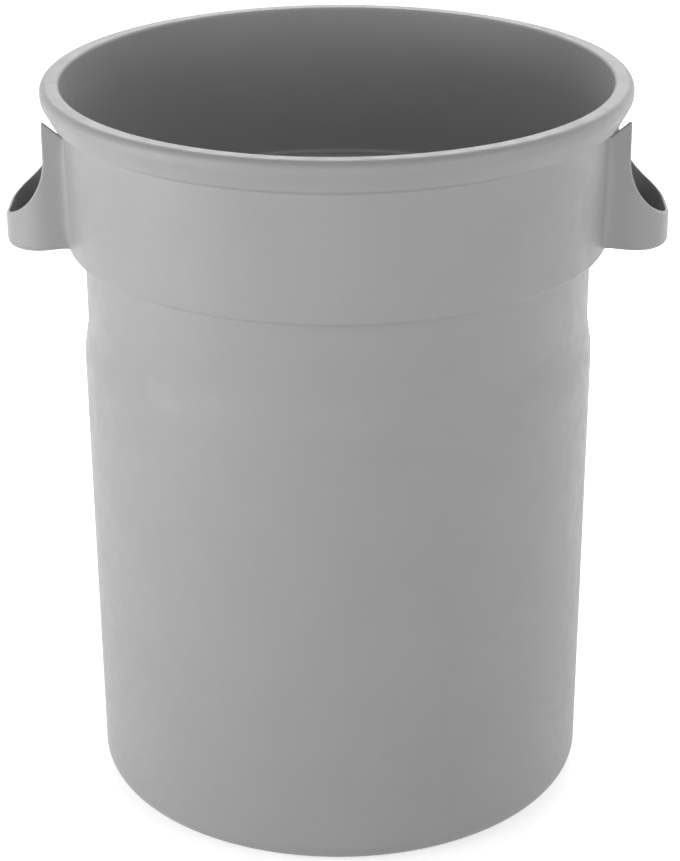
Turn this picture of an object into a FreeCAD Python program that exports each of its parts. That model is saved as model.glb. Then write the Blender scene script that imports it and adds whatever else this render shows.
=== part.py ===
"""Round open utility bin with two scooped pocket handles, moulded in one piece.

The moulding is cut at its own feature lines into named sections that meet face to face.
The origin is the centre of the foot, +Z is up, and the handles stand out along X.
"""

import FreeCAD, Part
import os
import re
import Sketcher

# Driving sizes, in millimetres unless the name says degrees or count
SIZES = {
    # rolled lip
    "bin_height": 705.0,
    "lip_radius": 275.0,
    "lip_width": 18.0,
    "lip_face": 13.0,
    "crease_drop": 19.0,
    "crease_inset": 9.0,
    "crease_step": 0.8,
    "tuck_drop": 16.0,
    "lip_round_out": 7.5,
    "lip_round_in": 3.5,
    "chin_round": 12.0,
    # collar and its ledge
    "wall": 3.2,
    "collar_inset": 18.0,
    "collar_draft": 2.4,
    "collar_drop": 154.0,
    "ledge_width": 15.4,
    "ledge_thick": 4.0,
    "ledge_round": 1.5,
    # neck and tub
    "neck_draft": 0.5,
    "neck_length": 80.0,
    "step_width": 4.4,
    "step_slope": 14.0,
    "shoulder_run": 20.0,
    "tub_draft": 4.8,
    # base
    "corner_round": 22.0,
    "foot_width": 10.0,
    "foot_rise": 8.0,
    "floor_thick": 3.6,
    "floor_round": 12.0,
    "pan_straight": 2.4,
    # ribs under the floor
    "ring_gap": 42.0,
    "web_length": 86.0,
    "rib_thick": 4.0,
    "rib_overlap": 1.0,
    "web_count": 8,
    "turn_degrees": 360.0,
    # pocket handles
    "handle_width": 132.0,
    "handle_wall": 3.6,
    "handle_foot_rise": 5.0,
    "nose_stand": 38.5,
    "nose_sag": 4.5,
    "nose_height": 25.0,
    "cheek_inset": 6.0,
    "cheek_top_drop": 12.0,
    "cheek_top_fall": 37.0,
    "scoop_height": 56.0,
    "scoop_round": 72.0,
    "cheek_round": 1.5,
    "nose_corner_round": 44.0,
    "nose_foot_round": 5.0,
    "pocket_floor_thick": 4.0,
    "pocket_floor_round": 3.0,
    "overrun": 30.0,
}

HALF_TURN_DEGREES = 180.0
SAME_PLACE = 1e-4

# Outer radii from the lip down, each standing on the one above it
MOUTH_RADIUS = "(lip_radius - lip_width)"
CREASE_RADIUS = "(lip_radius - crease_inset)"
COLLAR_TOP_RADIUS = "(lip_radius - collar_inset)"
COLLAR_FOOT_RADIUS = f"({COLLAR_TOP_RADIUS} - collar_draft)"
NECK_TOP_RADIUS = f"({COLLAR_FOOT_RADIUS} - ledge_width)"
NECK_FOOT_RADIUS = f"({NECK_TOP_RADIUS} - neck_draft)"
TUB_TOP_RADIUS = f"({NECK_FOOT_RADIUS} + step_width)"
TUB_FOOT_RADIUS = f"({TUB_TOP_RADIUS} - tub_draft)"
FOOT_INNER_RADIUS = f"({TUB_FOOT_RADIUS} - corner_round - foot_width)"
OUTER_RING_RADIUS = f"({FOOT_INNER_RADIUS} - ring_gap)"
INNER_RING_RADIUS = f"({OUTER_RING_RADIUS} - web_length)"

# Heights from the lip down to the step, then those of the base
LIP_FACE_FOOT = "(bin_height - lip_face)"
CREASE = f"({LIP_FACE_FOOT} - crease_drop)"
LIP_FOOT = f"({CREASE} - tuck_drop)"
COLLAR_FOOT = "(bin_height - collar_drop)"
LEDGE_TOP = f"({COLLAR_FOOT} + ledge_thick)"
STEP = f"({COLLAR_FOOT} - neck_length)"
FLOOR_TOP = "(foot_rise + floor_thick)"
PAN_TOP = f"({FLOOR_TOP} + floor_round + pan_straight)"

# The outer skin under the lip, which the handles seat on
UNDER_LIP = [
    (COLLAR_TOP_RADIUS, LIP_FOOT),
    (f"{CREASE_RADIUS} - crease_step", CREASE),
    (CREASE_RADIUS, CREASE),
    ("lip_radius", LIP_FACE_FOOT),
]

doc = FreeCAD.newDocument("waste_bin")
sheet = doc.addObject("Spreadsheet::Sheet", "Sizes")
for row, (alias, size) in enumerate(SIZES.items(), start=1):
    sheet.set(f"A{row}", alias)
    sheet.set(f"B{row}", str(size))
    sheet.setAlias(f"B{row}", alias)
doc.recompute()


def bound(text):
    """An expression in which each size's name points at its cell of the sheet."""
    def cell(word):
        name = word.group()
        return f"Sizes.{name}" if name in SIZES else name

    return re.sub(r"[a-z_]+", cell, text)


def origin_feature(body, role):
    """The body's own origin plane or axis of that role."""
    return next(feature for feature in body.Origin.OriginFeatures if feature.Role == role)


def outline(body, name, plane, points):
    """A closed outline of straight sides, each corner bound to the sheet. A blank value lies on an axis."""
    sketch = body.newObject("Sketcher::SketchObject", name)
    sketch.AttachmentSupport = (origin_feature(body, plane), [""])
    sketch.MapMode = "FlatFace"
    count = len(points)
    spread = FreeCAD.Vector(SIZES["lip_radius"], 0, 0)
    middle = FreeCAD.Vector(SIZES["lip_radius"], SIZES["lip_radius"], 0)
    turn = FreeCAD.Rotation(FreeCAD.Vector(0, 0, 1), SIZES["turn_degrees"] / count)
    guesses = []
    for _ in points:
        guesses.append(middle + spread)
        spread = turn.multVec(spread)
    for index in range(count):
        sketch.addGeometry(Part.LineSegment(guesses[index], guesses[(index + 1) % count]), False)
    for index in range(count):
        sketch.addConstraint(Sketcher.Constraint("Coincident", index, 2, (index + 1) % count, 1))
    for index, (across, along) in enumerate(points):
        for kind, axis, text in (("DistanceX", -2, across), ("DistanceY", -1, along)):
            if not text:
                sketch.addConstraint(Sketcher.Constraint("PointOnObject", index, 1, axis))
                continue
            guess = guesses[index].x if kind == "DistanceX" else guesses[index].y
            datum = sketch.addConstraint(Sketcher.Constraint(kind, -1, 1, index, 1, guess))
            sketch.setExpression(f"Constraints[{datum}]", bound(text))
    doc.recompute()
    return sketch


def turned(body, name, sketch, kind="Revolution"):
    """A full turn of the outline about the upright axis, added or, for a Groove, taken away."""
    feature = body.newObject(f"PartDesign::{kind}", name)
    feature.Profile = sketch
    feature.ReferenceAxis = (origin_feature(body, "Z_Axis"), [""])
    feature.setExpression("Angle", bound("turn_degrees"))
    doc.recompute()
    return feature


def rounded(body, base, name, radius, wanted):
    """Rounds the edges of the base feature for which wanted(edge) is true."""
    names = [f"Edge{index}" for index, edge in enumerate(base.Shape.Edges, start=1) if wanted(edge)]
    if not names:
        raise RuntimeError(f"{name}: no edge to round")
    fillet = body.newObject("PartDesign::Fillet", name)
    fillet.Base = (base, names)
    fillet.setExpression("Radius", bound(radius))
    doc.recompute()
    return fillet


def ring_at(sketch, corner):
    """A test for the circular edge that one corner of a turned outline sweeps."""
    place = sketch.Geometry[corner].StartPoint

    def wanted(edge):
        if not isinstance(edge.Curve, Part.Circle):
            return False
        radius, height = edge.Curve.Radius, edge.Curve.Center.z
        return abs(radius - place.x) < SAME_PLACE and abs(height - place.y) < SAME_PLACE

    return wanted


def slab(body, name, sketch, kind, length):
    """The outline taken half to each side of its plane, added as a Pad or cut away as a Pocket."""
    feature = body.newObject(f"PartDesign::{kind}", name)
    feature.Profile = sketch
    feature.SideType = "Symmetric"
    feature.setExpression("Length", bound(length))
    doc.recompute()
    return feature


def smaller(cut, base):
    """Stops the build if a cut took nothing from the feature before it."""
    if not cut.Shape.Volume < base.Shape.Volume:
        raise RuntimeError(f"{cut.Name} cut nothing")


def across_at(sketch, corner):
    """A test for the edge along Y that one corner of a side outline makes."""
    place = sketch.Geometry[corner].StartPoint

    def wanted(edge):
        return all(abs(end.X - place.x) < SAME_PLACE and abs(end.Z - place.y) < SAME_PLACE
                   for end in edge.Vertexes)

    return wanted


def upright_at(sketch, corner):
    """A test for the upright edges at the reach of one corner of a side outline."""
    reach = sketch.Geometry[corner].StartPoint.x

    def wanted(edge):
        first, last = edge.Vertexes[0].Point, edge.Vertexes[-1].Point
        return (abs(first.x - reach) < SAME_PLACE and abs(last.x - reach) < SAME_PLACE
                and abs(first.y - last.y) < SAME_PLACE)

    return wanted


def new_body(label):
    """An empty body whose label names its node and its file."""
    body = doc.addObject("PartDesign::Body", label)
    body.Label = label
    body.Placement = FreeCAD.Placement()
    return body


def make_base_pan():
    """Floor, foot ring and rounded bottom corner."""
    body = new_body("base_pan")
    sketch = outline(body, "base_pan_outline", "XZ_Plane", [
        ("", "foot_rise"),
        (FOOT_INNER_RADIUS, "foot_rise"),
        (FOOT_INNER_RADIUS, ""),
        (TUB_FOOT_RADIUS, ""),
        (TUB_FOOT_RADIUS, PAN_TOP),
        (f"{TUB_FOOT_RADIUS} - wall", PAN_TOP),
        (f"{TUB_FOOT_RADIUS} - wall", FLOOR_TOP),
        ("", FLOOR_TOP),
    ])
    feature = turned(body, "base_pan_turned", sketch)
    feature = rounded(body, feature, "base_pan_corner", "corner_round", ring_at(sketch, 3))
    rounded(body, feature, "base_pan_floor_round", "floor_round", ring_at(sketch, 6))
    return body


def drag_ring(body, name, radius):
    """One ring of the rib set, from the ground up to the underside of the floor."""
    return turned(body, name, outline(body, f"{name}_outline", "XZ_Plane", [
        (radius, ""),
        (f"{radius} + rib_thick", ""),
        (f"{radius} + rib_thick", "foot_rise"),
        (radius, "foot_rise"),
    ]))


def make_base_ribs():
    """Two drag rings joined by radial webs, in the recess under the floor."""
    body = new_body("base_ribs")
    drag_ring(body, "outer_ring", OUTER_RING_RADIUS)
    web = slab(body, "web", outline(body, "web_outline", "XZ_Plane", [
        (f"{INNER_RING_RADIUS} + rib_overlap", ""),
        (f"{OUTER_RING_RADIUS} + rib_overlap", ""),
        (f"{OUTER_RING_RADIUS} + rib_overlap", "foot_rise"),
        (f"{INNER_RING_RADIUS} + rib_overlap", "foot_rise"),
    ]), "Pad", "rib_thick")
    webs = body.newObject("PartDesign::PolarPattern", "webs")
    webs.Originals = [web]
    webs.Axis = (origin_feature(body, "Z_Axis"), [""])
    webs.setExpression("Angle", bound("turn_degrees"))
    webs.setExpression("Occurrences", bound("web_count"))
    body.Tip = webs
    doc.recompute()
    drag_ring(body, "inner_ring", INNER_RING_RADIUS)
    return body


def make_tub_wall():
    """Main tapered wall, which slopes in at the small step and is thickened behind it."""
    body = new_body("tub_wall")
    turned(body, "tub_wall_turned", outline(body, "tub_wall_outline", "XZ_Plane", [
        (f"{TUB_FOOT_RADIUS} - wall", PAN_TOP),
        (TUB_FOOT_RADIUS, PAN_TOP),
        (TUB_TOP_RADIUS, f"{STEP} - step_slope"),
        (NECK_FOOT_RADIUS, STEP),
        (f"{NECK_FOOT_RADIUS} - wall", STEP),
        (f"{TUB_TOP_RADIUS} - wall", f"{STEP} - shoulder_run"),
    ]))
    return body


def make_neck_band():
    """Slightly narrower band between the step and the ledge."""
    body = new_body("neck_band")
    turned(body, "neck_band_turned", outline(body, "neck_band_outline", "XZ_Plane", [
        (f"{NECK_FOOT_RADIUS} - wall", STEP),
        (NECK_FOOT_RADIUS, STEP),
        (NECK_TOP_RADIUS, COLLAR_FOOT),
        (f"{NECK_TOP_RADIUS} - wall", COLLAR_FOOT),
    ]))
    return body


def make_collar_ledge():
    """Flat shoulder that carries the collar outwards from the neck."""
    body = new_body("collar_ledge")
    sketch = outline(body, "collar_ledge_outline", "XZ_Plane", [
        (f"{NECK_TOP_RADIUS} - wall", COLLAR_FOOT),
        (COLLAR_FOOT_RADIUS, COLLAR_FOOT),
        (COLLAR_FOOT_RADIUS, LEDGE_TOP),
        (f"{NECK_TOP_RADIUS} - wall", LEDGE_TOP),
    ])
    feature = turned(body, "collar_ledge_turned", sketch)
    rounded(body, feature, "collar_ledge_round", "ledge_round", ring_at(sketch, 1))
    return body


def make_collar_wall():
    """Wide upper wall between the ledge and the lip."""
    body = new_body("collar_wall")
    turned(body, "collar_wall_turned", outline(body, "collar_wall_outline", "XZ_Plane", [
        (f"{COLLAR_FOOT_RADIUS} - wall", LEDGE_TOP),
        (COLLAR_FOOT_RADIUS, LEDGE_TOP),
        (COLLAR_TOP_RADIUS, LIP_FOOT),
        (f"{COLLAR_TOP_RADIUS} - wall", LIP_FOOT),
    ]))
    return body


def make_rim_lip():
    """Rolled lip: a rounded top that narrows underneath, past a fine crease, into the collar."""
    body = new_body("rim_lip")
    sketch = outline(body, "rim_lip_outline", "XZ_Plane", [
        (f"{COLLAR_TOP_RADIUS} - wall", LIP_FOOT),
        *UNDER_LIP,
        ("lip_radius", "bin_height"),
        (MOUTH_RADIUS, "bin_height"),
    ])
    feature = turned(body, "rim_lip_turned", sketch)
    feature = rounded(body, feature, "rim_lip_round_out", "lip_round_out", ring_at(sketch, 5))
    feature = rounded(body, feature, "rim_lip_round_in", "lip_round_in", ring_at(sketch, 6))
    rounded(body, feature, "rim_lip_chin", "chin_round", ring_at(sketch, 4))
    return body


def make_handle(label, turn_degrees):
    """Pocket handle: flat cheeks hung from the lip, scooped down to a rounded nose, seated on the collar."""
    body = new_body(label)
    foot = f"({COLLAR_FOOT} + handle_foot_rise)"
    top = f"({LIP_FACE_FOOT} - cheek_top_drop)"
    nose_foot = f"({foot} - nose_sag)"
    pocket_floor = f"{foot} + pocket_floor_thick"
    buried = f"{COLLAR_FOOT_RADIUS} - overrun"
    nose_reach = "(lip_radius + nose_stand)"
    cheek_reach = "(lip_radius - cheek_inset)"
    inner_reach = f"{nose_reach} - handle_wall"
    side = outline(body, f"{label}_side", "XZ_Plane", [
        (buried, foot),
        (COLLAR_FOOT_RADIUS, foot),
        (nose_reach, nose_foot),
        (nose_reach, f"{nose_foot} + nose_height"),
        (cheek_reach, f"{foot} + scoop_height"),
        (cheek_reach, top),
        (buried, f"{top} - cheek_top_fall"),
    ])
    block = slab(body, f"{label}_block", side, "Pad", "handle_width")
    feature = rounded(body, block, f"{label}_scoop", "scoop_round", across_at(side, 4))
    feature = rounded(body, feature, f"{label}_cheek_top", "cheek_round", across_at(side, 5))

    inside = outline(body, f"{label}_inside", "XZ_Plane", [
        (buried, pocket_floor),
        (COLLAR_FOOT_RADIUS, pocket_floor),
        (inner_reach, f"{nose_foot} + pocket_floor_thick"),
        (inner_reach, f"{top} + overrun"),
        (buried, f"{top} + overrun"),
    ])
    pocket = slab(body, f"{label}_pocket", inside, "Pocket", "handle_width - 2 * handle_wall")
    smaller(pocket, feature)
    feature = rounded(body, pocket, f"{label}_inner_corners", "nose_corner_round - handle_wall",
                      upright_at(inside, 2))
    feature = rounded(body, feature, f"{label}_inner_floor", "pocket_floor_round", across_at(inside, 2))
    feature = rounded(body, feature, f"{label}_nose_corners", "nose_corner_round", upright_at(side, 2))
    feature = rounded(body, feature, f"{label}_nose_foot", "nose_foot_round", across_at(side, 2))

    skin = outline(body, f"{label}_seat_outline", "XZ_Plane", [
        ("", f"{foot} - overrun"),
        (COLLAR_FOOT_RADIUS, f"{foot} - overrun"),
        (COLLAR_FOOT_RADIUS, LEDGE_TOP),
        *UNDER_LIP,
        ("lip_radius", "bin_height"),
        ("", "bin_height"),
    ])
    seat = turned(body, f"{label}_seat", skin, "Groove")
    smaller(seat, feature)
    body.Placement = FreeCAD.Placement(
        FreeCAD.Vector(), FreeCAD.Rotation(FreeCAD.Vector(0, 0, 1), turn_degrees))
    doc.recompute()
    return body


bodies = [
    make_base_ribs(),
    make_base_pan(),
    make_tub_wall(),
    make_neck_band(),
    make_collar_ledge(),
    make_collar_wall(),
    make_rim_lip(),
    make_handle("handle_right", 0),
    make_handle("handle_left", HALF_TURN_DEGREES),
]
doc.recompute()

for item in doc.Objects:
    if "Invalid" in item.State or "Error" in item.State:
        raise RuntimeError(f"{item.Name} did not recompute: {item.State}")
for body in bodies:
    if body.Shape.isNull() or not body.Shape.isValid():
        raise RuntimeError(f"{body.Label} has no valid shape")
    box = body.Shape.BoundBox
    print(f"{body.Label}: {len(body.Shape.Solids)} solid, {body.Shape.Volume:.0f} mm3, "
          f"x {box.XMin:.1f} to {box.XMax:.1f}, z {box.ZMin:.1f} to {box.ZMax:.1f}")

os.makedirs("parts", exist_ok=True)
for body in bodies:
    body.Shape.exportStep(f"parts/{body.Label}.step")
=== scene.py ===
"""Looks of the open round utility bin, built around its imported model.

The moulding has one outer and one inner skin. Each region is cut from them at the heights of the node
that it stands for, so neighbours meet face to face and shade as one surface. The handles are worked out
as a distance field, so that they grow out of the collar with a soft root. Lengths are in millimetres
until a mesh is made, which is in metres in the frame's own place.
"""

import logging
import math
from collections.abc import Callable
from dataclasses import dataclass
from enum import Enum
from typing import ClassVar

import bmesh
import bpy
import numpy as np
from mathutils import Matrix, Vector


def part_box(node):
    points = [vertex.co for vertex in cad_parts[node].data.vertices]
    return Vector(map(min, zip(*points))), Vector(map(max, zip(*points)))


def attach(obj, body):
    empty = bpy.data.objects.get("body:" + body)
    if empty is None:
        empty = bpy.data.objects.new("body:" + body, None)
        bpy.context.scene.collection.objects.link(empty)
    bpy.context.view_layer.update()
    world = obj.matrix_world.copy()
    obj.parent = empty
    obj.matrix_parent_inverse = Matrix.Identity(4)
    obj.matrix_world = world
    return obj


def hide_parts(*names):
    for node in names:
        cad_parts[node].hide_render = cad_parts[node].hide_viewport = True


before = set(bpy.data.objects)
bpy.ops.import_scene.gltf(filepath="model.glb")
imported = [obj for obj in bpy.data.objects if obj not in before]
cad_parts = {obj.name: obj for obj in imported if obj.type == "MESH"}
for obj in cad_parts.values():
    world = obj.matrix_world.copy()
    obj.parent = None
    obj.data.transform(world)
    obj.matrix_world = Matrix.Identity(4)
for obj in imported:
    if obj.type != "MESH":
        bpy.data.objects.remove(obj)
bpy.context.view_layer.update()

LOG = logging.getLogger("bin")
MM = 0.001
# Litres in a cubic metre
LITRES = 1000
BODY = "root"
EDGE = "edge_wear_and_highlight"
WHITE = (1, 1, 1, 1)
SEGMENTS = 384
SHARP_ANGLE = math.radians(32)
# Largest rounding in millimetres that counts as a fully exposed edge, which gets the full painted highlight
# and slight wear
EXPOSED_ROUND = 2.0
# Points of a section that are closer than this are one
SAME_POINT = 1e-4
# Lengths and squared lengths below these count as nothing
NO_LENGTH = 1e-9
NO_SQUARE = 1e-12
# How far to each side of a point its slope is measured
SLOPE_REACH = 0.05
# How netted vertices settle on their surface: passes, least steepness, largest step in cells
SETTLE_PASSES = 5
LEAST_STEEP = 0.2
LARGEST_STEP = 0.5

Corner = tuple[float, float, float]
Array = np.ndarray
Distance = Callable[[Array], Array]
Tree = bpy.types.NodeTree
Socket = bpy.types.NodeSocket
Mesh = bpy.types.Mesh
Material = bpy.types.Material


class Side(Enum):
    """Which way along X a handle stands out from the collar."""

    LEFT = -1.0
    RIGHT = 1.0


def node_box(node: str) -> tuple[Array, Array]:
    """Lowest and highest corners of a node.

    Args:
        node: the node's name.

    Returns:
        The two corners, in millimetres.
    """
    low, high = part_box(node)
    return np.array(low) / MM, np.array(high) / MM


def rounded(corners: list[Corner], closed: bool, step_degrees: float = 5.0) -> Array:
    """Replaces the corners of a line by arcs.

    Args:
        corners: across, up and rounding of each corner, in order.
        closed: whether the last corner joins the first.
        step_degrees: largest turn between two points of an arc.

    Returns:
        One row for each point: across, up, and the sharpness of its bend from 0 to 1.
    """
    count = len(corners)
    points: list[tuple[float, float, float]] = []
    for index, (across, up, rounding) in enumerate(corners):
        at_end = not closed and index in (0, count - 1)
        if rounding <= 0 or at_end:
            points.append((across, up, 0.0))
            continue
        here = Vector((across, up))
        back = (Vector(corners[index - 1][:2]) - here).normalized()
        ahead = (Vector(corners[(index + 1) % count][:2]) - here).normalized()
        half = back.angle(ahead) / 2
        middle = here + (back + ahead).normalized() * (rounding / math.sin(half))
        spoke = here + back * (rounding / math.tan(half)) - middle
        turn = math.pi - 2 * half
        handed = math.copysign(1.0, back.x * ahead.y - back.y * ahead.x)
        steps = max(1, math.ceil(math.degrees(turn) / step_degrees))
        for step in range(steps + 1):
            place = middle + Matrix.Rotation(-handed * turn * step / steps, 2) @ spoke
            points.append((place.x, place.y, min(1.0, EXPOSED_ROUND / rounding)))
    return np.array(points)


def cut_index(skin: Array, height: float, at_last: bool) -> tuple[int, Array]:
    """Where a skin crosses a height.

    Args:
        skin: the skin's points, from the bottom up.
        height: the height of the cut.
        at_last: True to cut after a level stretch at that height, False to cut before it.

    Returns:
        How many points come before the cut, and the point on the cut.
    """
    reach = 1e-6
    if at_last:
        before = int(np.flatnonzero(skin[:, 1] <= height + reach)[-1]) + 1
    else:
        before = int(np.flatnonzero(skin[:, 1] >= height - reach)[0])
    low, high = skin[before - 1], skin[min(before, len(skin) - 1)]
    rise = high[1] - low[1]
    share = 0.0 if abs(rise) < reach else (height - low[1]) / rise
    return before, low + (high - low) * min(1.0, max(0.0, share))


def between(skin: Array, low: float | None, high: float | None, at_last: bool) -> Array:
    """The stretch of a skin between two heights.

    Args:
        skin: the skin's points, from the bottom up.
        low: height of the lower cut, or None to start at the skin's start.
        high: height of the upper cut, or None to end at the skin's end.
        at_last: which side of a level stretch a cut falls on.

    Returns:
        The stretch's points, ends included.
    """
    start, first = (0, skin[:0]) if low is None else cut_index(skin, low, at_last)
    stop, last = (len(skin), skin[:0]) if high is None else cut_index(skin, high, at_last)
    rows = np.vstack([np.atleast_2d(first), skin[start:stop], np.atleast_2d(last)])
    gaps = np.hypot(*np.diff(rows[:, :2], axis=0).T)
    return rows[np.concatenate([[True], gaps > SAME_POINT])]


def math_node(tree: Tree, operation: str, *feeds: Socket | float) -> Socket:
    """Adds a Math node.

    Args:
        tree: the tree that gets it.
        operation: what it works out.
        feeds: a socket or a number for each input, in order.

    Returns:
        The result's socket.
    """
    node = tree.nodes.new("ShaderNodeMath")
    node.operation = operation
    for socket, feed in zip(node.inputs, feeds):
        if isinstance(feed, Socket):
            tree.links.new(feed, socket)
        else:
            socket.default_value = feed
    return node.outputs[0]


def map_range(tree: Tree, value: Socket, given: tuple[float, float], wanted: tuple[float, float]) -> Socket:
    """Adds a Map Range node.

    Args:
        tree: the tree that gets it.
        value: the value's socket.
        given: two values.
        wanted: what those two become.

    Returns:
        The result's socket.
    """
    node = tree.nodes.new("ShaderNodeMapRange")
    for name, number in zip(("From Min", "From Max", "To Min", "To Max"), (*given, *wanted)):
        node.inputs[name].default_value = number
    tree.links.new(value, node.inputs["Value"])
    return node.outputs["Result"]


@dataclass(frozen=True)
class MouldedPlastic:
    """Satin grey polyethylene as it leaves the mould: a fine eroded grain, a slow cloudy mottle, and a
    painted highlight with slight wear on sharp edges.
    """

    name: str = "satin_grey_polyethylene"
    grey: float = 0.345
    mottle: float = 0.02
    mottle_scale: float = 14.0
    mottle_detail: float = 3.0
    speck_scale: float = 900.0
    speck_detail: float = 1.0
    # Lifts the colour of sharp edges: a painted highlight, with slight edge wear
    edge_lift: float = 0.06
    roughness: float = 0.46
    roughness_spread: float = 0.08
    gloss_scale: float = 70.0
    gloss_detail: float = 4.0
    grain_scale: float = 1900.0
    grain_detail: float = 2.0
    grain_depth: float = 0.00003
    wave_scale: float = 7.0
    wave_detail: float = 1.0
    wave_depth: float = 0.0002
    noise_span: tuple[float, float] = (0.3, 0.7)

    def noise(self, tree: Tree, scale: float, detail: float) -> Socket:
        """Adds a noise on Object coordinates.

        Args:
            tree: the material's tree.
            scale: how many waves to a metre.
            detail: how many finer layers.

        Returns:
            The noise's value socket.
        """
        place = tree.nodes.new("ShaderNodeTexCoord")
        node = tree.nodes.new("ShaderNodeTexNoise")
        node.inputs["Scale"].default_value = scale
        node.inputs["Detail"].default_value = detail
        tree.links.new(place.outputs["Object"], node.inputs["Vector"])
        return node.outputs["Fac"]

    def stray(self, tree: Tree, scale: float, detail: float, middle: float, spread: float) -> Socket:
        """Adds a value that strays from a middle one with a noise.

        Args:
            tree: the material's tree.
            scale: how many waves to a metre.
            detail: how many finer layers.
            middle: the middle value.
            spread: how far the value strays to either side.

        Returns:
            The value's socket.
        """
        noise = self.noise(tree, scale, detail)
        return map_range(tree, noise, self.noise_span, (middle - spread, middle + spread))

    def build(self) -> Material:
        """Builds the material's nodes.

        Returns:
            The material.
        """
        material = bpy.data.materials.new(self.name)
        material.use_nodes = True
        tree = material.node_tree
        shader = tree.nodes["Principled BSDF"]
        cloud = self.stray(tree, self.mottle_scale, self.mottle_detail, 1.0, self.mottle)
        speck = self.stray(tree, self.speck_scale, self.speck_detail, 1.0, self.mottle)
        # Sharp edges are made lighter: painted highlight, with slight edge wear
        edge_wear_and_shine = tree.nodes.new("ShaderNodeAttribute")
        edge_wear_and_shine.attribute_name = EDGE
        tint = math_node(tree, "MULTIPLY_ADD", edge_wear_and_shine.outputs["Fac"], self.edge_lift, 1.0)
        for value in (cloud, speck):
            tint = math_node(tree, "MULTIPLY", tint, value)
        colour = tree.nodes.new("ShaderNodeVectorMath")
        colour.operation = "SCALE"
        colour.inputs[0].default_value = (self.grey, self.grey, self.grey)
        tree.links.new(tint, colour.inputs["Scale"])
        tree.links.new(colour.outputs[0], shader.inputs["Base Color"])
        gloss = self.stray(tree, self.gloss_scale, self.gloss_detail, self.roughness, self.roughness_spread)
        tree.links.new(gloss, shader.inputs["Roughness"])
        fine = self.noise(tree, self.grain_scale, self.grain_detail)
        slow = self.noise(tree, self.wave_scale, self.wave_detail)
        waves = self.bump(tree, slow, self.wave_depth, self.bump(tree, fine, self.grain_depth, None))
        tree.links.new(waves, shader.inputs["Normal"])
        return material

    def bump(self, tree: Tree, height: Socket, depth: float, under: Socket | None) -> Socket:
        """Adds a layer of relief.

        Args:
            tree: the material's tree.
            height: the relief's height from 0 to 1.
            depth: metres between 0 and 1.
            under: the normal of the layer below, if any.

        Returns:
            The new normal.
        """
        node = tree.nodes.new("ShaderNodeBump")
        node.inputs["Distance"].default_value = depth
        tree.links.new(height, node.inputs["Height"])
        if under is not None:
            tree.links.new(under, node.inputs["Normal"])
        return node.outputs["Normal"]


def begin_tree(name: str, inputs: dict[str, str]) -> Tree:
    """Starts a Geometry Nodes tree.

    Args:
        name: the tree's name.
        inputs: the kind of each input socket, by name.

    Returns:
        The tree, with its outside sockets only.
    """
    tree = bpy.data.node_groups.new(name, "GeometryNodeTree")
    for title, kind in inputs.items():
        tree.interface.new_socket(title, in_out="INPUT", socket_type=f"NodeSocket{kind}")
    tree.interface.new_socket("Made", in_out="OUTPUT", socket_type="NodeSocketGeometry")
    return tree


def end_tree(tree: Tree, made: Socket, material: Socket) -> None:
    """Ends a Geometry Nodes tree: makes what came out real and gives it the material.

    Args:
        tree: the tree.
        made: the geometry's socket.
        material: the material's socket.
    """
    real = tree.nodes.new("GeometryNodeRealizeInstances")
    dress = tree.nodes.new("GeometryNodeSetMaterial")
    result = tree.nodes.new("NodeGroupOutput")
    tree.links.new(made, real.inputs["Geometry"])
    tree.links.new(real.outputs["Geometry"], dress.inputs["Geometry"])
    tree.links.new(material, dress.inputs["Material"])
    tree.links.new(dress.outputs["Geometry"], result.inputs["Made"])


@dataclass(frozen=True)
class LatheTree:
    """Geometry Nodes that turn a closed section round the bin's axis."""

    name: str = "turn_section"
    pole_gap: float = 1e-5

    def build(self) -> Tree:
        """Builds the tree.

        Returns:
            The tree, with inputs for the section, the path's radius, the segments and the material.
        """
        tree = begin_tree(self.name, {"Section": "Geometry", "Path radius": "Float", "Segments": "Int",
                                      "Material": "Material"})
        given = tree.nodes.new("NodeGroupInput")
        outline = tree.nodes.new("GeometryNodeMeshToCurve")
        circle = tree.nodes.new("GeometryNodeCurvePrimitiveCircle")
        sweep = tree.nodes.new("GeometryNodeCurveToMesh")
        poles = tree.nodes.new("GeometryNodeMergeByDistance")
        poles.inputs["Distance"].default_value = self.pole_gap
        link = tree.links.new
        link(given.outputs["Section"], outline.inputs["Mesh"])
        link(given.outputs["Segments"], circle.inputs["Resolution"])
        link(given.outputs["Path radius"], circle.inputs["Radius"])
        link(circle.outputs["Curve"], sweep.inputs["Curve"])
        link(outline.outputs["Curve"], sweep.inputs["Profile Curve"])
        link(sweep.outputs["Mesh"], poles.inputs["Geometry"])
        end_tree(tree, poles.outputs["Geometry"], given.outputs["Material"])
        return tree


@dataclass(frozen=True)
class SpokeTree:
    """Geometry Nodes that repeat one web round the bin's axis."""

    name: str = "repeat_web"

    def build(self) -> Tree:
        """Builds the tree.

        Returns:
            The tree, with inputs for the web, the count and the material.
        """
        tree = begin_tree(self.name, {"Web": "Geometry", "Count": "Int", "Material": "Material"})
        given = tree.nodes.new("NodeGroupInput")
        hub = tree.nodes.new("GeometryNodePoints")
        number = tree.nodes.new("GeometryNodeInputIndex")
        turn = tree.nodes.new("ShaderNodeCombineXYZ")
        spread = tree.nodes.new("GeometryNodeInstanceOnPoints")
        share = math_node(tree, "DIVIDE", number.outputs["Index"], given.outputs["Count"])
        link = tree.links.new
        link(given.outputs["Count"], hub.inputs["Count"])
        link(math_node(tree, "MULTIPLY", share, math.tau), turn.inputs["Z"])
        link(hub.outputs["Points"], spread.inputs["Points"])
        link(given.outputs["Web"], spread.inputs["Instance"])
        link(turn.outputs["Vector"], spread.inputs["Rotation"])
        end_tree(tree, spread.outputs["Instances"], given.outputs["Material"])
        return tree


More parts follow.
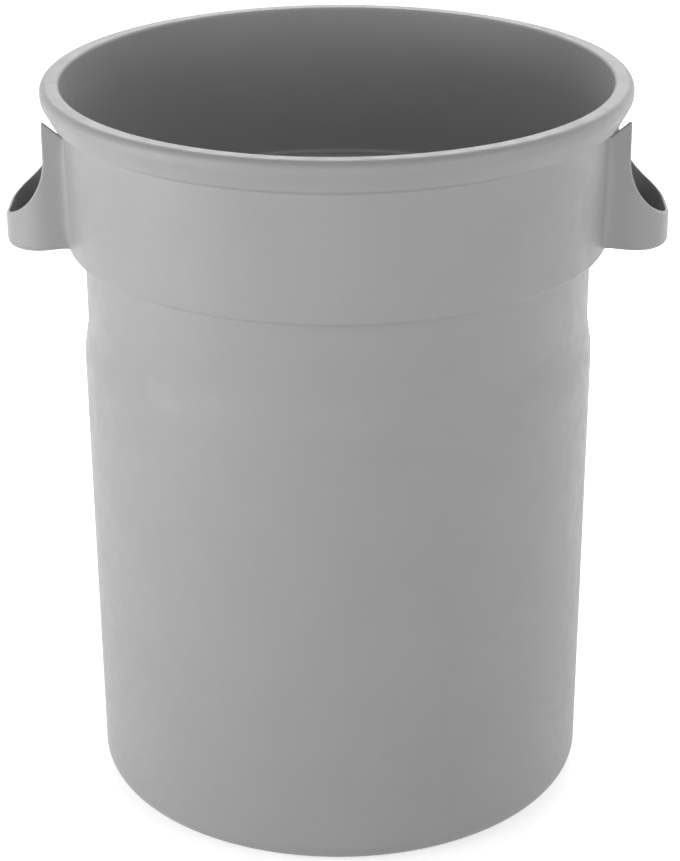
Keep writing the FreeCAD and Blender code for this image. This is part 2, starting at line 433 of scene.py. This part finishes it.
def run_tree(mesh: Mesh, tree: Tree, values: dict[str, object]) -> Mesh:
    """Runs Geometry Nodes on a mesh.

    Args:
        mesh: what the tree's first input gets.
        tree: the tree.
        values: what its other inputs get, by name.

    Returns:
        The result as a plain mesh.
    """
    carrier = bpy.data.objects.new("carrier", mesh)
    bpy.context.scene.collection.objects.link(carrier)
    modifier = carrier.modifiers.new("nodes", "NODES")
    modifier.node_group = tree
    for item in tree.interface.items_tree:
        if item.in_out == "INPUT" and item.name in values:
            modifier[item.identifier] = values[item.name]
    bpy.context.view_layer.update()
    graph = bpy.context.evaluated_depsgraph_get()
    made = bpy.data.meshes.new_from_object(carrier.evaluated_get(graph))
    bpy.data.objects.remove(carrier)
    return made


def finish_piece(name: str, mesh: Mesh, nodes: tuple[str, ...]) -> bpy.types.Object:
    """Turns a mesh into a piece that stands for nodes of the frame.

    Args:
        name: the piece's name.
        mesh: its mesh, in metres in the frame's place.
        nodes: the nodes that it replaces.

    Returns:
        The piece.
    """
    shell = bmesh.new()
    shell.from_mesh(mesh)
    bmesh.ops.recalc_face_normals(shell, faces=shell.faces)
    if shell.calc_volume(signed=True) < 0:
        bmesh.ops.reverse_faces(shell, faces=shell.faces)
    bmesh.ops.delete(shell, geom=[edge for edge in shell.edges if not edge.link_faces], context="EDGES")
    open_edges = sum(1 for edge in shell.edges if len(edge.link_faces) != 2)
    volume = shell.calc_volume()
    shell.to_mesh(mesh)
    shell.free()
    mesh.shade_smooth()
    mesh.set_sharp_from_angle(angle=SHARP_ANGLE)
    piece = bpy.data.objects.new(name, mesh)
    bpy.context.scene.collection.objects.link(piece)
    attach(piece, BODY)
    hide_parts(*nodes)
    LOG.info("%s: %d faces, %.4f litres, %d open edges", name, len(mesh.polygons), volume * LITRES,
             open_edges)
    return piece


def mark_edges(mesh: Mesh, values: Array) -> None:
    """Writes how exposed the edge at each vertex is, from 0 to 1, for the finish's painted edge highlight
    and slight wear.
    """
    mesh.attributes.new(EDGE, "FLOAT", "POINT").data.foreach_set("value", values.astype(np.float32))


@dataclass(frozen=True)
class Moulding:
    """The skins that all regions share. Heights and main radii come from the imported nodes."""

    top: float
    lip_radius: float
    lip_foot: float
    collar_top_radius: float
    ledge_top: float
    collar_radius: float
    collar_foot: float
    neck_radius: float
    step: float
    tub_top_radius: float
    pan_top: float
    tub_radius: float
    wall: float = 3.2
    lip_width: float = 18.0
    lip_face: float = 13.0
    crease_drop: float = 16.5
    crease_inset: float = 9.0
    crease_step: float = 2.5
    lip_round_out: float = 7.5
    lip_round_in: float = 3.5
    chin_round: float = 12.0
    tuck_drop: float = 4.5
    tuck_round: float = 3.0
    crease_round: float = 1.2
    ledge_round: float = 4.0
    ledge_inner_round: float = 3.0
    neck_draft: float = 0.5
    step_slope: float = 26.0
    step_round: float = 90.0
    shoulder_run: float = 30.0
    corner_round: float = 22.0
    foot_width: float = 10.0
    foot_rise: float = 8.0
    foot_round: float = 1.5
    floor_thick: float = 3.6
    floor_round: float = 12.0
    bend_round: float = 200.0

    @classmethod
    def from_frame(cls) -> "Moulding":
        """Reads the radii and heights that the nodes show.

        Returns:
            The moulding's sizes.
        """
        lip_low, lip_high = node_box("rim_lip")
        ledge_low, ledge_high = node_box("collar_ledge")
        neck_low, neck_high = node_box("neck_band")
        pan_high = node_box("base_pan")[1]
        return cls(
            top=lip_high[2],
            lip_radius=lip_high[0],
            lip_foot=lip_low[2],
            collar_top_radius=node_box("collar_wall")[1][0],
            ledge_top=ledge_high[2],
            collar_radius=ledge_high[0],
            collar_foot=ledge_low[2],
            neck_radius=neck_high[0],
            step=neck_low[2],
            tub_top_radius=node_box("tub_wall")[1][0],
            pan_top=pan_high[2],
            tub_radius=pan_high[0],
        )

    def outer(self) -> Array:
        """The skin that shows from outside, from the middle of the underside up to the mouth.

        Returns:
            Radius, height and edge sharpness of each point.
        """
        face_foot = self.top - self.lip_face
        crease = face_foot - self.crease_drop
        crease_radius = self.lip_radius - self.crease_inset
        foot_inner = self.tub_radius - self.corner_round - self.foot_width
        return rounded([
            (0.0, self.foot_rise, 0.0),
            (foot_inner, self.foot_rise, self.foot_round),
            (foot_inner, 0.0, self.foot_round),
            (self.tub_radius, 0.0, self.corner_round),
            (self.tub_radius, self.pan_top, self.bend_round),
            (self.tub_top_radius, self.step - self.step_slope, self.step_round),
            (self.neck_radius - self.neck_draft, self.step, self.step_round),
            (self.neck_radius, self.collar_foot, self.ledge_round),
            (self.collar_radius, self.collar_foot, self.ledge_round),
            (self.collar_top_radius, crease - self.tuck_drop, self.tuck_round),
            (crease_radius - self.crease_step, crease, self.crease_round),
            (crease_radius, crease, self.crease_round),
            (self.lip_radius, face_foot, self.chin_round),
            (self.lip_radius, self.top, self.lip_round_out),
            (self.lip_radius - self.lip_width / 2, self.top, 0.0),
        ], closed=False)

    def inner(self) -> Array:
        """The skin that shows from inside, from the middle of the floor up to the mouth.

        Returns:
            Radius, height and edge sharpness of each point.
        """
        floor_top = self.foot_rise + self.floor_thick
        return rounded([
            (0.0, floor_top, 0.0),
            (self.tub_radius - self.wall, floor_top, self.floor_round),
            (self.tub_radius - self.wall, self.pan_top, self.bend_round),
            (self.tub_top_radius - self.wall, self.step - self.shoulder_run, self.step_round),
            (self.neck_radius - self.neck_draft - self.wall, self.step, self.step_round),
            (self.neck_radius - self.wall, self.ledge_top, self.ledge_round),
            (self.collar_radius - self.wall, self.ledge_top, self.ledge_inner_round),
            (self.collar_top_radius - self.wall, self.lip_foot, self.bend_round),
            (self.lip_radius - self.lip_width, self.top, self.lip_round_in),
            (self.lip_radius - self.lip_width / 2, self.top, 0.0),
        ], closed=False)


@dataclass(frozen=True)
class TurnedRegion:
    """One region of the moulding, turned round the axis between two heights."""

    node: str
    low: float | None
    high: float | None

    def section(self, moulding: Moulding) -> Array:
        """The closed line that is turned.

        Args:
            moulding: the skins.

        Returns:
            Radius, height and edge sharpness of each point, anticlockwise.
        """
        outside = between(moulding.outer(), self.low, self.high, at_last=False)
        inside = between(moulding.inner(), self.low, self.high, at_last=True)
        loop = np.vstack([outside, inside[::-1]])
        gaps = np.hypot(*(loop[:, :2] - np.roll(loop[:, :2], 1, axis=0)).T)
        return loop[gaps > SAME_POINT]

    def build(self, moulding: Moulding, tree: Tree, material: Material) -> None:
        """Makes the region's piece.

        Args:
            moulding: the skins.
            tree: the tree that turns a section.
            material: the finish.
        """
        mesh = turned_mesh(self.section(moulding), tree, material)
        finish_piece(f"{self.node}_moulded", mesh, (self.node,))


def turned_mesh(loop: Array, tree: Tree, material: Material) -> Mesh:
    """Turns a closed section round the axis.

    Args:
        loop: radius, height and edge sharpness of each point.
        tree: the tree that turns a section.
        material: the finish.

    Returns:
        The turned mesh.
    """
    path = float(loop[:, 0].mean())
    flat = [((radius - path) * MM, -height * MM, 0.0) for radius, height, _ in loop]
    count = len(flat)
    mesh = bpy.data.meshes.new("section")
    mesh.from_pydata(flat, [(index, (index + 1) % count) for index in range(count)], [])
    mark_edges(mesh, loop[:, 2])
    return run_tree(mesh, tree, {"Path radius": path * MM, "Segments": SEGMENTS, "Material": material})


@dataclass(frozen=True)
class BaseRibs:
    """Two drag rings joined by webs, under the floor."""

    web_length: float = 86.0
    thick: float = 4.0
    overlap: float = 1.0
    web_count: int = 8
    edge_round: float = 1.2
    arc_step: float = 15.0
    node: str = "base_ribs"

    def bar(self, low: float, high: float, top: float) -> Array:
        """Section of a bar with a rounded foot.

        Args:
            low: where the bar starts across.
            high: where it ends across.
            top: height of its upper face.

        Returns:
            Across, height and edge sharpness of each point of a closed line.
        """
        return rounded([(low, top, 0.0), (low, 0.0, self.edge_round), (high, 0.0, self.edge_round),
                        (high, top, 0.0)], closed=True, step_degrees=self.arc_step)

    def build(self, turn_tree: Tree, web_tree: Tree, material: Material) -> None:
        """Makes the rings and the webs as one piece.

        Args:
            turn_tree: the tree that turns a section.
            web_tree: the tree that repeats the web.
            material: the finish.
        """
        high = node_box(self.node)[1]
        top, reach = float(high[2]), float(high[0])
        joined = bmesh.new()
        for outside in (reach - self.web_length, reach):
            ring = self.bar(outside - self.thick, outside, top)
            joined.from_mesh(turned_mesh(ring, turn_tree, material))
        values = {"Count": self.web_count, "Material": material}
        joined.from_mesh(run_tree(self.web(top, reach), web_tree, values))
        mesh = bpy.data.meshes.new(self.node)
        joined.to_mesh(mesh)
        joined.free()
        mesh.materials.append(material)
        finish_piece(f"{self.node}_moulded", mesh, (self.node,))

    def web(self, top: float, reach: float) -> Mesh:
        """Makes the web that lies along +X.

        Args:
            top: height of its upper face.
            reach: radius of the outer ring.

        Returns:
            The web's mesh.
        """
        half = self.thick / 2
        outside = reach - self.thick + self.overlap
        line = self.bar(-half, half, top)
        count = len(line)
        places = [(end * MM, across * MM, up * MM) for end in (outside - self.web_length, outside)
                  for across, up, _ in line]
        sides = [(index, (index + 1) % count, (index + 1) % count + count, index + count)
                 for index in range(count)]
        mesh = bpy.data.meshes.new("web")
        mesh.from_pydata(places, [], [*sides, tuple(range(count))[::-1], tuple(range(count, 2 * count))])
        mark_edges(mesh, np.tile(line[:, 2], 2))
        return mesh


@dataclass(frozen=True)
class FlatField:
    """Signed distance from a flat closed outline, kept on a fine grid and read between its points.

    A reading past the grid gives the value just inside it.
    """

    low: tuple[float, float]
    step: float
    table: Array
    end_guard: ClassVar[float] = 1.001

    @classmethod
    def around(cls, outline: Array, low: tuple[float, float], high: tuple[float, float],
               step: float = 0.2) -> "FlatField":
        """Works out the grid for an outline.

        Args:
            outline: the outline's corners, one row each.
            low: lowest corner of the grid.
            high: highest corner of the grid.
            step: the grid's spacing.

        Returns:
            The field, negative inside the outline.
        """
        columns = np.arange(low[0], high[0] + step, step)
        rows = np.arange(low[1], high[1] + step, step)
        across, up = np.meshgrid(columns, rows, indexing="ij")
        nearest = np.full(across.shape, np.inf)
        inside = np.zeros(across.shape, bool)
        for start, end in zip(outline[:, :2], np.roll(outline[:, :2], -1, axis=0)):
            run = end - start
            right, above = across - start[0], up - start[1]
            share = (right * run[0] + above * run[1]) / max(NO_SQUARE, float(run @ run))
            share = np.clip(share, 0.0, 1.0)
            nearest = np.minimum(nearest, np.hypot(right - share * run[0], above - share * run[1]))
            if abs(run[1]) > NO_LENGTH:
                passes = (start[1] > up) != (end[1] > up)
                inside ^= passes & (across < start[0] + (up - start[1]) * run[0] / run[1])
        return cls(low, step, np.where(inside, -nearest, nearest))

    def read(self, across: Array, up: Array) -> Array:
        """Reads the field.

        Args:
            across: the points' first coordinate.
            up: the points' second coordinate.

        Returns:
            The distance of each point.
        """
        columns, rows = self.table.shape
        first = np.clip((across - self.low[0]) / self.step, 0, columns - self.end_guard)
        second = np.clip((up - self.low[1]) / self.step, 0, rows - self.end_guard)
        column, row = first.astype(int), second.astype(int)
        right, above = first - column, second - row
        lower = self.table[column, row] * (1 - right) + self.table[column + 1, row] * right
        upper = self.table[column, row + 1] * (1 - right) + self.table[column + 1, row + 1] * right
        return lower * (1 - above) + upper * above


def round_both(first: Array, second: Array, radius: float) -> Array:
    """What lies in both of two forms, with the edge where they meet rounded.

    Args:
        first: distance from the first form, negative inside.
        second: distance from the second form.
        radius: the edge's radius.

    Returns:
        Distance from the result.
    """
    one, two = first + radius, second + radius
    outside = np.hypot(np.maximum(one, 0.0), np.maximum(two, 0.0))
    return outside + np.minimum(np.maximum(one, two), 0.0) - radius


def soft_either(first: Array, second: Array, blend: Array) -> Array:
    """What lies in either of two forms, with the inner corner where they meet filled softly.

    The filling is a cubic, one sixth of its reach deep where both distances are the same.

    Args:
        first: distance from the first form, negative inside.
        second: distance from the second form.
        blend: how far from the corner the filling reaches.

    Returns:
        Distance from the result.
    """
    near = np.maximum(blend - np.abs(first - second), 0.0) / blend
    return np.minimum(first, second) - near ** 3 * blend / 6


def slope_of(distance: Distance, places: Array) -> Array:
    """Direction in which a distance grows.

    Args:
        distance: gives the distance of points.
        places: the points.

    Returns:
        The gradient at each point.
    """
    result = np.empty_like(places)
    for axis in range(3):
        shift = np.zeros(3)
        shift[axis] = SLOPE_REACH
        result[:, axis] = (distance(places + shift) - distance(places - shift)) / (2 * SLOPE_REACH)
    return result


def settle(distance: Distance, places: Array, cell: float) -> Array:
    """Moves points along the slope of a form's distance until they lie on its surface.

    Args:
        distance: gives the distance of points from the form.
        places: the points, near the surface.
        cell: the size of the cells that they lie in.

    Returns:
        The moved points.
    """
    for _ in range(SETTLE_PASSES):
        slope = slope_of(distance, places)
        steep = np.maximum((slope * slope).sum(axis=1), LEAST_STEEP)
        step = slope * (distance(places) / steep)[:, None]
        length = np.linalg.norm(step, axis=1, keepdims=True)
        places = places - step * np.minimum(1.0, LARGEST_STEP * cell / np.maximum(length, NO_LENGTH))
    return places


def join_cells(inside: Array, number: Array) -> Array:
    """Joins the vertices of the four cells round each stretch of grid line that the surface crosses.

    Args:
        inside: whether each grid point lies inside the form.
        number: number of each cell's vertex, or -1.

    Returns:
        The four corners of each face, turned outwards.
    """
    faces = []
    for axis, (one, two) in enumerate(((1, 2), (2, 0), (0, 1))):
        window = [slice(1, -1)] * 3
        window[axis] = slice(0, number.shape[axis])
        ahead = [slice(1, -1)] * 3
        ahead[axis] = slice(1, inside.shape[axis])
        first, second = inside[tuple(window)], inside[tuple(ahead)]
        spots = np.argwhere(first != second)
        outward = first[tuple(spots.T)]
        base = spots + 1
        base[:, axis] -= 1
        ring = []
        for shift_one, shift_two in ((-1, -1), (0, -1), (0, 0), (-1, 0)):
            spot = base.copy()
            spot[:, one] += shift_one
            spot[:, two] += shift_two
            ring.append(number[tuple(spot.T)])
        quads = np.stack(ring, axis=1)
        faces.append(np.where(outward[:, None], quads, quads[:, ::-1]))
    return np.vstack(faces)


def net_over(distance: Distance, low: Array, high: Array, cell: float) -> tuple[Array, ...]:
    """Meshes a form with one vertex in each cell that its surface passes.

    Args:
        distance: gives the distance of points from the form, negative inside.
        low: lowest corner of the cells.
        high: highest corner of the cells.
        cell: the cells' size.

    Returns:
        The vertices, and the four corners of each face.
    """
    counts = np.ceil((high - low) / cell).astype(int) + 1
    axes = [low[axis] + cell * np.arange(counts[axis]) for axis in range(3)]
    grid = np.stack(np.meshgrid(*axes, indexing="ij"), axis=-1)
    value = distance(grid.reshape(-1, 3)).reshape(counts)
    cells = counts - 1
    total = np.zeros((*cells, 3))
    crossings = np.zeros(cells)
    for axis in range(3):
        first = np.take(value, range(cells[axis]), axis=axis)
        second = np.take(value, range(1, counts[axis]), axis=axis)
        crossed = (first < 0) != (second < 0)
        place = np.take(grid, range(cells[axis]), axis=axis).copy()
        place[..., axis] += cell * np.where(crossed, first / np.where(crossed, first - second, 1.0), 0.0)
        one, two = [other for other in range(3) if other != axis]
        for near in (0, 1):
            for far in (0, 1):
                window = [slice(None)] * 3
                window[one] = slice(near, near + cells[one])
                window[two] = slice(far, far + cells[two])
                total += place[tuple(window)] * crossed[tuple(window)][..., None]
                crossings += crossed[tuple(window)]
    used = crossings > 0
    number = np.full(cells, -1)
    number[used] = np.arange(int(used.sum()))
    places = total[used] / crossings[used][:, None]
    return settle(distance, places, cell), join_cells(value < 0, number)


@dataclass(frozen=True)
class ScoopedHandle:
    """A pocket handle: a thin wall round three sides, scooped down to a low nose, and a closed floor.

    The root is its soft filling towards the collar. It swells over root_rise above the foot and shrinks from
    root_fade to root_end below the cheeks' tips. The net_ values set the netted box round the handle.
    """

    reach: float
    half_width: float
    nose_foot: float
    seat_radius: float
    lip_radius: float
    lip_face_foot: float
    nose_in: ClassVar[float] = 2.7
    nose_down: ClassVar[float] = 2.8
    wall: float = 3.6
    nose_sag: float = 6.3
    nose_height: float = 30.5
    cheek_inset: float = 6.0
    cheek_top_drop: float = 12.0
    cheek_top_slope: float = 0.833
    scoop_height: float = 53.9
    scoop_round: float = 66.0
    cheek_round: float = 1.5
    nose_depth: float = 44.0
    nose_breadth: float = 50.0
    foot_round: float = 7.0
    rim_round: float = 1.7
    floor_thick: float = 4.0
    floor_round: float = 3.0
    root: float = 12.0
    root_at_ends: float = 2.4
    under_skin: float = 2.0
    feather: float = 0.03
    hidden_edge: float = 0.2
    cell: float = 1.0
    root_rise: float = 22.0
    root_fade: float = 36.0
    root_end: float = 10.0
    # Reach of the lighter colour along the scooped rim: painted highlight, with slight wear
    shine_width: float = 2.5
    plan_length: float = 176.0
    plan_points: int = 31
    far: float = 60.0
    net_inward: float = 36.0
    net_outward: float = 3.0
    net_aside: float = 14.0
    net_updown: float = 8.0
    margin: float = 1.0
    skin_margin: float = 20.0
    skin_inner: float = 120.0

    @classmethod
    def from_frame(cls, moulding: Moulding) -> "ScoopedHandle":
        """Reads the handle's main sizes from its node.

        Args:
            moulding: the skins, which give the lip that the cheeks hang from.

        Returns:
            The handle's sizes.
        """
        low, high = node_box("handle_right")
        return cls(reach=high[0] - cls.nose_in, half_width=high[1], nose_foot=low[2] - cls.nose_down,
                   seat_radius=moulding.collar_radius, lip_radius=moulding.lip_radius,
                   lip_face_foot=moulding.top - moulding.lip_face)

    @property
    def foot(self) -> float:
        """Height of the handle's foot on the collar."""
        return self.nose_foot + self.nose_sag

    @property
    def cheek_reach(self) -> float:
        """How far out the cheeks' upright edges stand."""
        return self.lip_radius - self.cheek_inset

    @property
    def cheek_top(self) -> float:
        """Height of the cheeks' tips."""
        return self.lip_face_foot - self.cheek_top_drop

    def drop(self, across: Array) -> Array:
        """How far the handle's foot has fallen towards the nose.

        Args:
            across: how far out each point is.

        Returns:
            The fall at each point.
        """
        share = (across - self.seat_radius) / (self.reach - self.seat_radius)
        return self.nose_sag * np.clip(share, 0.0, 1.0)

    def scoop(self) -> Array:
        """Side view of what lies under the wall's top edge.

        Returns:
            Across and height of each point of a closed outline.
        """
        inward = self.cheek_reach - 2 * self.far
        return rounded([
            (self.reach + self.far, self.foot - self.far, 0.0),
            (self.reach + self.far, self.nose_foot + self.nose_height, 0.0),
            (self.reach, self.nose_foot + self.nose_height, 0.0),
            (self.cheek_reach, self.foot + self.scoop_height, self.scoop_round),
            (self.cheek_reach, self.cheek_top, self.cheek_round),
            (inward, self.cheek_top - 2 * self.far * self.cheek_top_slope, 0.0),
            (inward, self.foot - self.far, 0.0),
        ], closed=True, step_degrees=2.0)

    def plan(self) -> Array:
        """The wall's outer face seen from above: straight sides that turn into an oval nose.

        Returns:
            Across and side of each point of a closed outline.
        """
        turn = np.radians(np.linspace(0.0, 90.0, self.plan_points))
        across = self.reach - self.nose_depth * (1.0 - np.sin(turn))
        side = self.half_width - self.nose_breadth * (1.0 - np.cos(turn))
        inward = self.reach - self.plan_length
        right = np.column_stack([np.append(inward, across), np.append(self.half_width, side)])
        return np.vstack([right, right[::-1] * (1.0, -1.0)])

    def shell(self, places: Array, scoop: FlatField, plan: FlatField) -> Array:
        """Distance from the right handle without its root.

        Args:
            places: X, Y and Z of the points, one row each.
            scoop: side view of what lies under the wall's top edge.
            plan: the wall's outer face seen from above.

        Returns:
            Distance, negative in the plastic.
        """
        across, side, up = places.T
        wall = plan.read(across, side)
        foot = self.foot - self.drop(across)
        block = round_both(wall, foot - up, self.foot_round)
        block = round_both(block, scoop.read(across, up), self.rim_round)
        pocket = round_both(wall + self.wall, foot + self.floor_thick - up, self.floor_round)
        return round_both(block, -pocket, self.rim_round)

    def distance(self, places: Array, scoop: FlatField, plan: FlatField, skin: FlatField) -> Array:
        """Distance from the right handle with its soft root on the collar.

        Args:
            places: X, Y and Z of the points, one row each.
            scoop: side view of what lies under the wall's top edge.
            plan: the wall's outer face seen from above.
            skin: the bin's own outer skin, by radius and height.

        Returns:
            Distance, negative in the plastic.
        """
        shell = self.shell(places, scoop, plan)
        body = skin.read(np.hypot(places[:, 0], places[:, 1]), places[:, 2])
        ends = [self.foot, self.foot + self.root_rise, self.cheek_top - self.root_fade,
                self.cheek_top - self.root_end]
        share = np.interp(places[:, 2], ends, [0.0, 1.0, 1.0, 0.0])
        blend = self.root_at_ends + (self.root - self.root_at_ends) * share
        grown = soft_either(shell, body, blend) + self.feather
        return np.maximum(np.maximum(grown, -(body + self.under_skin)), shell - blend + self.hidden_edge)

    def build(self, moulding: Moulding, material: Material) -> None:
        """Makes both handles.

        Args:
            moulding: the skins.
            material: the finish.
        """
        low = np.array([self.cheek_reach - self.net_inward, -self.half_width - self.net_aside,
                        self.nose_foot - self.net_updown])
        high = np.array([self.reach + self.net_outward, self.half_width + self.net_aside,
                         self.cheek_top + self.net_updown])
        start, end = low - self.margin, high + self.margin
        scoop = FlatField.around(self.scoop(), (start[0], start[2]), (end[0], end[2]))
        plan = FlatField.around(self.plan(), (start[0], start[1]), (end[0], end[1]))
        outer, floor = moulding.outer(), moulding.step
        corners = [[self.skin_inner, moulding.top, 0.0], [self.skin_inner, floor, 0.0]]
        ring = np.vstack([outer[outer[:, 1] >= floor], corners])
        skin = FlatField.around(ring, (start[0], start[2]), (high[0] + self.skin_margin, end[2]))

        def distance(places: Array) -> Array:
            """Distance from the right handle, from the points' places."""
            return self.distance(places, scoop, plan, skin)

        places, faces = net_over(distance, low, high, self.cell)
        slope = slope_of(distance, places)
        normals = slope / np.maximum(np.linalg.norm(slope, axis=1, keepdims=True), NO_LENGTH)
        # The scooped rim's edge is marked for the lighter colour: painted highlight, with slight wear
        rim = np.abs(scoop.read(places[:, 0], places[:, 2]))
        sharp = np.clip(1.0 - rim / self.shine_width, 0.0, 1.0)
        for side in Side:
            turn = np.array([side.value, side.value, 1.0])
            name = f"handle_{side.name.lower()}"
            mesh = bpy.data.meshes.new(name)
            mesh.from_pydata((places * turn * MM).tolist(), [], faces.tolist())
            mark_edges(mesh, sharp)
            mesh.materials.append(material)
            piece = finish_piece(f"{name}_moulded", mesh, (name,))
            piece.data.normals_split_custom_set_from_vertices((normals * turn).tolist())


@dataclass(frozen=True)
class Panel:
    """One soft panel of the studio's tent, aimed at the bin."""

    name: str
    place: tuple[float, float, float]
    size: tuple[float, float]
    watts: float


@dataclass(frozen=True)
class Studio:
    """Pale floor, white surroundings, soft panels and the camera of the photograph."""

    panels: tuple[Panel, ...] = (
        Panel("panel_left", (-2.2, -0.6, 1.2), (2.4, 2.4), 8.0),
        Panel("panel_right", (2.2, -0.6, 1.2), (2.4, 2.4), 10.0),
        Panel("panel_left_low", (-2.2, -0.8, 0.5), (1.6, 0.9), 18.0),
        Panel("panel_left_back", (-1.8, 1.4, 1.0), (1.8, 1.8), 6.0),
        Panel("panel_right_back", (1.8, 1.4, 1.0), (1.8, 1.8), 12.0),
        Panel("panel_left_front", (-1.9, -1.9, 1.2), (1.6, 1.6), 13.0),
        Panel("panel_right_front", (1.9, -1.9, 1.2), (1.6, 1.6), 15.0),
        Panel("panel_front", (0.0, -3.2, 0.7), (2.4, 1.0), 17.0),
        Panel("panel_top", (0.0, 0.2, 2.6), (2.4, 2.4), 6.0),
        Panel("panel_high_back", (0.0, 1.9, 2.0), (2.4, 1.0), 37.0),
    )
    aim: tuple[float, float, float] = (0.0, 0.0, 0.45)
    ambient: float = 0.06
    floor_half: float = 12.0
    floor_white: float = 0.8
    floor_glow: float = 0.6
    floor_near: float = 0.45
    floor_far: float = 1.3
    camera_place: tuple[float, float, float] = (0.0014, -2.3903, 1.3567)
    turn: float = 0.73
    pitch: float = 67.1
    roll: float = -0.29
    lens: float = 110.80
    sensor: float = 36.0

    def build(self) -> None:
        """Makes the lights, the world, the floor and the camera."""
        self.light()
        self.surround()
        self.floor()
        self.camera()

    def light(self) -> None:
        """Makes the panels."""
        for panel in self.panels:
            lamp = bpy.data.lights.new(panel.name, "AREA")
            lamp.shape = "RECTANGLE"
            lamp.size, lamp.size_y = panel.size
            lamp.energy = panel.watts
            holder = bpy.data.objects.new(panel.name, lamp)
            holder.location = panel.place
            line = Vector(self.aim) - Vector(panel.place)
            holder.rotation_euler = line.to_track_quat("-Z", "Y").to_euler()
            bpy.context.scene.collection.objects.link(holder)

    def seen(self, tree: Tree) -> Socket:
        """Tells the rays that should see the white surroundings.

        Args:
            tree: the tree that asks.

        Returns:
            1 for camera, glossy and transmission rays, 0 for others.
        """
        path = tree.nodes.new("ShaderNodeLightPath")
        value = path.outputs["Is Camera Ray"]
        for output in ("Is Glossy Ray", "Is Transmission Ray"):
            value = math_node(tree, "MAXIMUM", value, path.outputs[output])
        return value

    def surround(self) -> None:
        """Makes the world: white where it is seen, and a weak white fill elsewhere."""
        world = bpy.data.worlds.new("tent")
        world.use_nodes = True
        bpy.context.scene.world = world
        tree = world.node_tree
        fill = tree.nodes["Background"]
        white = tree.nodes.new("ShaderNodeBackground")
        for node, strength in ((fill, self.ambient), (white, 1.0)):
            node.inputs["Color"].default_value = WHITE
            node.inputs["Strength"].default_value = strength
        mix = tree.nodes.new("ShaderNodeMixShader")
        tree.links.new(self.seen(tree), mix.inputs["Fac"])
        tree.links.new(fill.outputs[0], mix.inputs[1])
        tree.links.new(white.outputs[0], mix.inputs[2])
        tree.links.new(mix.outputs[0], tree.nodes["World Output"].inputs["Surface"])

    def floor(self) -> None:
        """Makes the floor that the bin stands on."""
        half = self.floor_half
        corners = [(-half, -half, 0), (half, -half, 0), (half, half, 0), (-half, half, 0)]
        mesh = bpy.data.meshes.new("floor")
        mesh.from_pydata(corners, [], [(0, 1, 2, 3)])
        mesh.materials.append(self.floor_finish())
        piece = bpy.data.objects.new("floor", mesh)
        bpy.context.scene.collection.objects.link(piece)

    def floor_finish(self) -> Material:
        """Makes the floor's finish: pale, with a glow that lifts it to white away from the bin.

        Returns:
            The material.
        """
        material = bpy.data.materials.new("pale_floor")
        material.use_nodes = True
        tree = material.node_tree
        tree.nodes.remove(tree.nodes["Principled BSDF"])
        matt = tree.nodes.new("ShaderNodeBsdfDiffuse")
        matt.inputs["Color"].default_value = (self.floor_white, self.floor_white, self.floor_white, 1)
        place = tree.nodes.new("ShaderNodeTexCoord")
        away = tree.nodes.new("ShaderNodeVectorMath")
        away.operation = "LENGTH"
        tree.links.new(place.outputs["Object"], away.inputs[0])
        near, far = self.floor_near, self.floor_far
        rise = map_range(tree, away.outputs["Value"], (near, far), (self.floor_glow, 1.0))
        glow = tree.nodes.new("ShaderNodeEmission")
        tree.links.new(math_node(tree, "MULTIPLY", self.seen(tree), rise), glow.inputs["Strength"])
        both = tree.nodes.new("ShaderNodeAddShader")
        tree.links.new(matt.outputs[0], both.inputs[0])
        tree.links.new(glow.outputs[0], both.inputs[1])
        tree.links.new(both.outputs[0], tree.nodes["Material Output"].inputs["Surface"])
        return material

    def camera(self) -> None:
        """Makes the camera that stands where the photograph was taken from."""
        lens = bpy.data.cameras.new("camera")
        lens.lens = self.lens
        lens.sensor_width = self.sensor
        holder = bpy.data.objects.new("camera", lens)
        turn = Matrix.Rotation(math.radians(self.turn), 4, "Z")
        pitch = Matrix.Rotation(math.radians(self.pitch), 4, "X")
        roll = Matrix.Rotation(math.radians(self.roll), 4, "Z")
        holder.matrix_world = turn @ Matrix.Translation(self.camera_place) @ pitch @ roll
        bpy.context.scene.collection.objects.link(holder)
        bpy.context.scene.camera = holder


def main() -> None:
    """Builds the bin and its studio."""
    logging.basicConfig(level=logging.INFO, format="%(message)s")
    bpy.context.scene.view_settings.view_transform = "Standard"
    material = MouldedPlastic().build()
    turn_tree, web_tree = LatheTree().build(), SpokeTree().build()
    moulding = Moulding.from_frame()
    cuts = [None, moulding.pan_top, moulding.step, moulding.collar_foot, moulding.ledge_top,
            moulding.lip_foot, None]
    nodes = ["base_pan", "tub_wall", "neck_band", "collar_ledge", "collar_wall", "rim_lip"]
    for node, low, high in zip(nodes, cuts[:-1], cuts[1:]):
        TurnedRegion(node, low, high).build(moulding, turn_tree, material)
    BaseRibs().build(turn_tree, web_tree, material)
    ScoopedHandle.from_frame(moulding).build(moulding, material)
    Studio().build()


if __name__ == "__main__":
    main()
